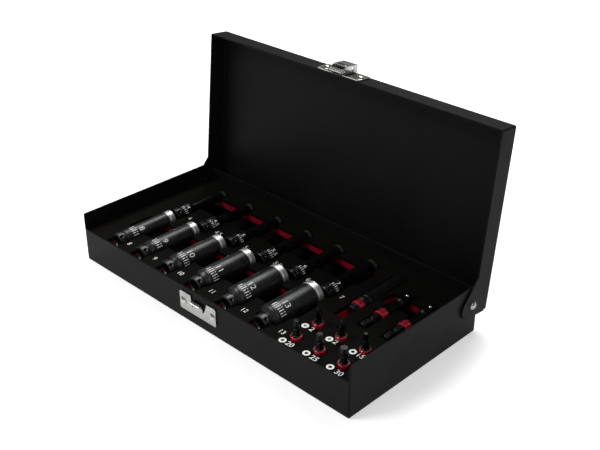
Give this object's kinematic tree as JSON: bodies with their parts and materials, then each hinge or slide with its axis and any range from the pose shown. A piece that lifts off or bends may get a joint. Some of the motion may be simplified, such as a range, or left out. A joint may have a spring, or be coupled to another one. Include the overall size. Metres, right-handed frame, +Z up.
{
  "type": "socket wrench set in case",
  "caption": "Black sheet-steel case, lid open, foam inlay with impact sockets, screwdriver bits and drive adapters, each tool lifting out.",
  "frame": {"origin": "centre of the case base's underside", "axes": "+X along the length of the case, -Y towards the front wall with the latch keeper, +Z up"},
  "size_m": [0.2664, 0.15, 0.1487],
  "materials": {
    "case_steel": "satin",
    "rivet_steel": "satin",
    "bright_steel": "satin",
    "nickel": "polished",
    "foam_black": "matte",
    "foam_red": "matte",
    "socket_steel": "satin",
    "bit_steel": "satin",
    "sleeve_dark": "satin",
    "ring_red": "gloss",
    "print_white": "matte",
    "magnet_grey": "satin"
  },
  "bodies": {
    "base": {"base_tray": "case_steel", "hinge_rivets": "rivet_steel", "keeper_plate": "bright_steel", "keeper_rivets": "nickel", "foam_top_layer": "foam_black", "foam_bottom_layer": "foam_red"},
    "lid": {"lid": "case_steel", "latch_plate": "nickel", "latch_rivets": "nickel", "latch_pin": "nickel"},
    "latch": {"latch_lever": "nickel", "latch_catch": "nickel"},
    "tool_socket_8mm": {"socket_8mm": "socket_steel"},
    "tool_socket_9mm": {"socket_9mm": "socket_steel"},
    "tool_socket_10mm": {"socket_10mm": "socket_steel"},
    "tool_socket_11mm": {"socket_11mm": "socket_steel"},
    "tool_socket_12mm": {"socket_12mm": "socket_steel"},
    "tool_socket_13mm": {"socket_13mm": "socket_steel"},
    "tool_socket_4mm": {"socket_4mm": "socket_steel"},
    "tool_socket_4_5mm": {"socket_4_5mm": "socket_steel"},
    "tool_socket_5mm": {"socket_5mm": "socket_steel"},
    "tool_socket_5_5mm": {"socket_5_5mm": "socket_steel"},
    "tool_socket_6mm": {"socket_6mm": "socket_steel"},
    "tool_socket_7mm": {"socket_7mm": "socket_steel"},
    "tool_bit_cross_2": {"bit_cross_2": "bit_steel", "bit_cross_2_ring": "ring_red"},
    "tool_bit_posi_2": {"bit_posi_2": "bit_steel", "bit_posi_2_ring": "ring_red"},
    "tool_bit_star_15": {"bit_star_15": "bit_steel", "bit_star_15_ring": "ring_red"},
    "tool_bit_star_20": {"bit_star_20": "bit_steel", "bit_star_20_ring": "ring_red"},
    "tool_bit_star_25": {"bit_star_25": "bit_steel", "bit_star_25_ring": "ring_red"},
    "tool_bit_star_30": {"bit_star_30": "bit_steel", "bit_star_30_ring": "ring_red"},
    "tool_drive_adapter_a": {"drive_adapter_a": "bit_steel", "drive_adapter_a_ring": "ring_red", "drive_adapter_a_ball": "bright_steel"},
    "tool_drive_adapter_b": {"drive_adapter_b": "bit_steel", "drive_adapter_b_ring": "ring_red", "drive_adapter_b_ball": "bright_steel"},
    "tool_bit_holder": {"bit_holder": "sleeve_dark", "bit_holder_ring": "ring_red", "bit_holder_magnet": "magnet_grey"}
  },
  "joints": [
    {"name": "lid_hinge", "type": "hinge", "parent": "base", "child": "lid", "pos_m": [0, 0.0552, 0.024], "axis": [-1, 0, 0], "range_deg": [-95.5, 0]},
    {"name": "latch_hinge", "type": "hinge", "parent": "lid", "child": "latch", "pos_m": [-0.0028, 0.06819, 0.14576], "axis": [1, 0, 0], "range_deg": [0, 178]},
    {"name": "tool_socket_8mm_lift", "type": "slide", "parent": "base", "child": "tool_socket_8mm", "axis": [0, 0, 1], "range_m": [0, 0.04]},
    {"name": "tool_socket_9mm_lift", "type": "slide", "parent": "base", "child": "tool_socket_9mm", "axis": [0, 0, 1], "range_m": [0, 0.04]},
    {"name": "tool_socket_10mm_lift", "type": "slide", "parent": "base", "child": "tool_socket_10mm", "axis": [0, 0, 1], "range_m": [0, 0.04]},
    {"name": "tool_socket_11mm_lift", "type": "slide", "parent": "base", "child": "tool_socket_11mm", "axis": [0, 0, 1], "range_m": [0, 0.04]},
    {"name": "tool_socket_12mm_lift", "type": "slide", "parent": "base", "child": "tool_socket_12mm", "axis": [0, 0, 1], "range_m": [0, 0.04]},
    {"name": "tool_socket_13mm_lift", "type": "slide", "parent": "base", "child": "tool_socket_13mm", "axis": [0, 0, 1], "range_m": [0, 0.04]},
    {"name": "tool_socket_4mm_lift", "type": "slide", "parent": "base", "child": "tool_socket_4mm", "axis": [0, 0, 1], "range_m": [0, 0.04]},
    {"name": "tool_socket_4_5mm_lift", "type": "slide", "parent": "base", "child": "tool_socket_4_5mm", "axis": [0, 0, 1], "range_m": [0, 0.04]},
    {"name": "tool_socket_5mm_lift", "type": "slide", "parent": "base", "child": "tool_socket_5mm", "axis": [0, 0, 1], "range_m": [0, 0.04]},
    {"name": "tool_socket_5_5mm_lift", "type": "slide", "parent": "base", "child": "tool_socket_5_5mm", "axis": [0, 0, 1], "range_m": [0, 0.04]},
    {"name": "tool_socket_6mm_lift", "type": "slide", "parent": "base", "child": "tool_socket_6mm", "axis": [0, 0, 1], "range_m": [0, 0.04]},
    {"name": "tool_socket_7mm_lift", "type": "slide", "parent": "base", "child": "tool_socket_7mm", "axis": [0, 0, 1], "range_m": [0, 0.04]},
    {"name": "tool_bit_cross_2_lift", "type": "slide", "parent": "base", "child": "tool_bit_cross_2", "axis": [0, 0, 1], "range_m": [0, 0.04]},
    {"name": "tool_bit_posi_2_lift", "type": "slide", "parent": "base", "child": "tool_bit_posi_2", "axis": [0, 0, 1], "range_m": [0, 0.04]},
    {"name": "tool_bit_star_15_lift", "type": "slide", "parent": "base", "child": "tool_bit_star_15", "axis": [0, 0, 1], "range_m": [0, 0.04]},
    {"name": "tool_bit_star_20_lift", "type": "slide", "parent": "base", "child": "tool_bit_star_20", "axis": [0, 0, 1], "range_m": [0, 0.04]},
    {"name": "tool_bit_star_25_lift", "type": "slide", "parent": "base", "child": "tool_bit_star_25", "axis": [0, 0, 1], "range_m": [0, 0.04]},
    {"name": "tool_bit_star_30_lift", "type": "slide", "parent": "base", "child": "tool_bit_star_30", "axis": [0, 0, 1], "range_m": [0, 0.04]},
    {"name": "tool_drive_adapter_a_lift", "type": "slide", "parent": "base", "child": "tool_drive_adapter_a", "axis": [0, 0, 1], "range_m": [0, 0.04]},
    {"name": "tool_drive_adapter_b_lift", "type": "slide", "parent": "base", "child": "tool_drive_adapter_b", "axis": [0, 0, 1], "range_m": [0, 0.04]},
    {"name": "tool_bit_holder_lift", "type": "slide", "parent": "base", "child": "tool_bit_holder", "axis": [0, 0, 1], "range_m": [0, 0.04]}
  ]
}
